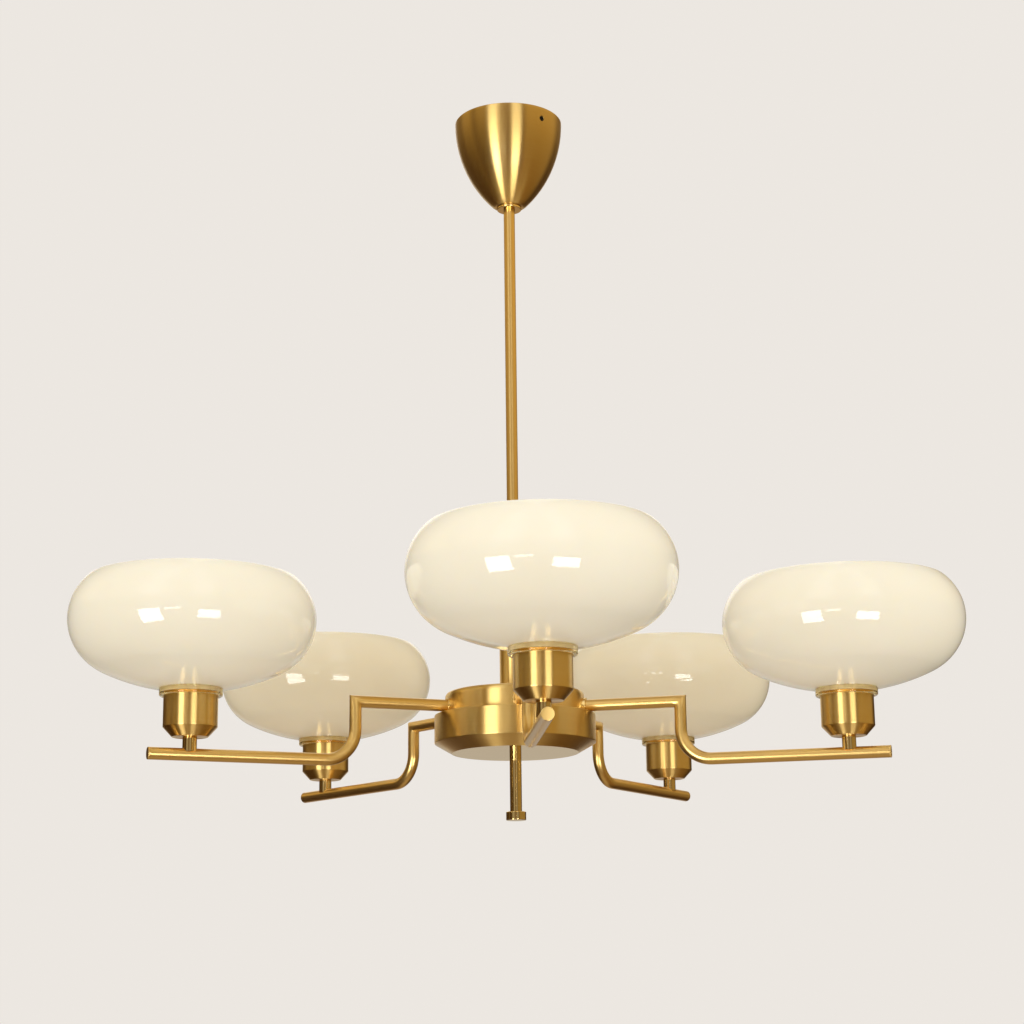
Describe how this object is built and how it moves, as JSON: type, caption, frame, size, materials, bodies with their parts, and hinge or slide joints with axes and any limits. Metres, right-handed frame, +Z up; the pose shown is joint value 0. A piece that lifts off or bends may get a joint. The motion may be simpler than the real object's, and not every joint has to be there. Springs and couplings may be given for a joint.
{
  "type": "multi arm chandelier",
  "caption": "Hanging light: bullet ceiling cup, thin stem, two-tier round hub and cranked brass arms that carry open cream glass bowls.",
  "frame": {"origin": "centre of the ceiling plate's top face, on the ceiling plane and on the stem's axis", "axes": "+Z up into the ceiling along the stem; arm_1 points along -Y; arms numbered anticlockwise from above"},
  "size_m": [0.7264, 0.7005, 0.6271],
  "materials": {
    "satin_brass": "lacquered, finely brushed",
    "bright_brass": "turned and polished",
    "zinc_steel": "zinc plated",
    "black_steel": "blackened",
    "cream_glass": "opal cream glass cased in clear, glossy",
    "bulb_glass": "frosted white",
    "cap_aluminium": "rolled thread",
    "white_plastic": "moulded",
    "lead_sheath": "plain insulation"
  },
  "bodies": {
    "frame": {"ceiling_plate": "zinc_steel", "hanger_nipple": "bright_brass", "hanger_nut": "zinc_steel", "terminal_block": "white_plastic", "supply_cable": "white_plastic", "stem": "satin_brass", "stem_sleeve": "satin_brass", "hub_top": "satin_brass", "hub_bowl": "satin_brass", "hub_spindle": "bright_brass", "hub_nuts": "zinc_steel", "hub_splices": "white_plastic", "finial_tube": "satin_brass", "arm_ferrules": "bright_brass", "arm_nuts": "zinc_steel", "arm_caps": "satin_brass", "arm_leads": "lead_sheath", "cup_nuts": "zinc_steel", "arm_1": "satin_brass", "arm_2": "satin_brass", "arm_3": "satin_brass", "arm_4": "satin_brass", "arm_5": "satin_brass", "post_1": "bright_brass", "post_2": "bright_brass", "post_3": "bright_brass", "post_4": "bright_brass", "post_5": "bright_brass", "cup_1": "satin_brass", "cup_2": "satin_brass", "cup_3": "satin_brass", "cup_4": "satin_brass", "cup_5": "satin_brass", "lampholder_1": "white_plastic", "lampholder_2": "white_plastic", "lampholder_3": "white_plastic", "lampholder_4": "white_plastic", "lampholder_5": "white_plastic"},
    "ceiling_cup": {"canopy": "satin_brass", "canopy_bush": "bright_brass", "canopy_bush_nut": "zinc_steel", "canopy_screws": "black_steel"},
    "finial_end": {"finial_knob": "bright_brass"},
    "bowl_1": {"shade_1": "cream_glass"},
    "lamp_1": {"bulb_cap_1": "cap_aluminium", "bulb_1": "bulb_glass"},
    "bowl_2": {"shade_2": "cream_glass"},
    "lamp_2": {"bulb_cap_2": "cap_aluminium", "bulb_2": "bulb_glass"},
    "bowl_3": {"shade_3": "cream_glass"},
    "lamp_3": {"bulb_cap_3": "cap_aluminium", "bulb_3": "bulb_glass"},
    "bowl_4": {"shade_4": "cream_glass"},
    "lamp_4": {"bulb_cap_4": "cap_aluminium", "bulb_4": "bulb_glass"},
    "bowl_5": {"shade_5": "cream_glass"},
    "lamp_5": {"bulb_cap_5": "cap_aluminium", "bulb_5": "bulb_glass"}
  },
  "joints": [
    {"name": "ceiling_cup_slide", "type": "slide", "parent": "frame", "child": "ceiling_cup", "axis": [0, 0, -1], "range_m": [0, 0.3]},
    {"name": "finial_knob_turn", "type": "hinge", "parent": "frame", "child": "finial_end", "pos_m": [0, 0, -0.6235], "axis": [0, 0, 1], "continuous": true},
    {"name": "bowl_lift_1", "type": "slide", "parent": "frame", "child": "bowl_1", "axis": [0, 0, 1], "range_m": [0, 0.12]},
    {"name": "bulb_turn_1", "type": "hinge", "parent": "frame", "child": "lamp_1", "pos_m": [0, -0.278, -0.5], "axis": [0, 0, 1], "range_deg": [0, 1080]},
    {"name": "bowl_lift_2", "type": "slide", "parent": "frame", "child": "bowl_2", "axis": [0, 0, 1], "range_m": [0, 0.12]},
    {"name": "bulb_turn_2", "type": "hinge", "parent": "frame", "child": "lamp_2", "pos_m": [0.26439, -0.08591, -0.5], "axis": [0, 0, 1], "range_deg": [0, 1080]},
    {"name": "bowl_lift_3", "type": "slide", "parent": "frame", "child": "bowl_3", "axis": [0, 0, 1], "range_m": [0, 0.12]},
    {"name": "bulb_turn_3", "type": "hinge", "parent": "frame", "child": "lamp_3", "pos_m": [0.1634, 0.22491, -0.5], "axis": [0, 0, 1], "range_deg": [0, 1080]},
    {"name": "bowl_lift_4", "type": "slide", "parent": "frame", "child": "bowl_4", "axis": [0, 0, 1], "range_m": [0, 0.12]},
    {"name": "bulb_turn_4", "type": "hinge", "parent": "frame", "child": "lamp_4", "pos_m": [-0.1634, 0.22491, -0.5], "axis": [0, 0, 1], "range_deg": [0, 1080]},
    {"name": "bowl_lift_5", "type": "slide", "parent": "frame", "child": "bowl_5", "axis": [0, 0, 1], "range_m": [0, 0.12]},
    {"name": "bulb_turn_5", "type": "hinge", "parent": "frame", "child": "lamp_5", "pos_m": [-0.26439, -0.08591, -0.5], "axis": [0, 0, 1], "range_deg": [0, 1080]}
  ]
}
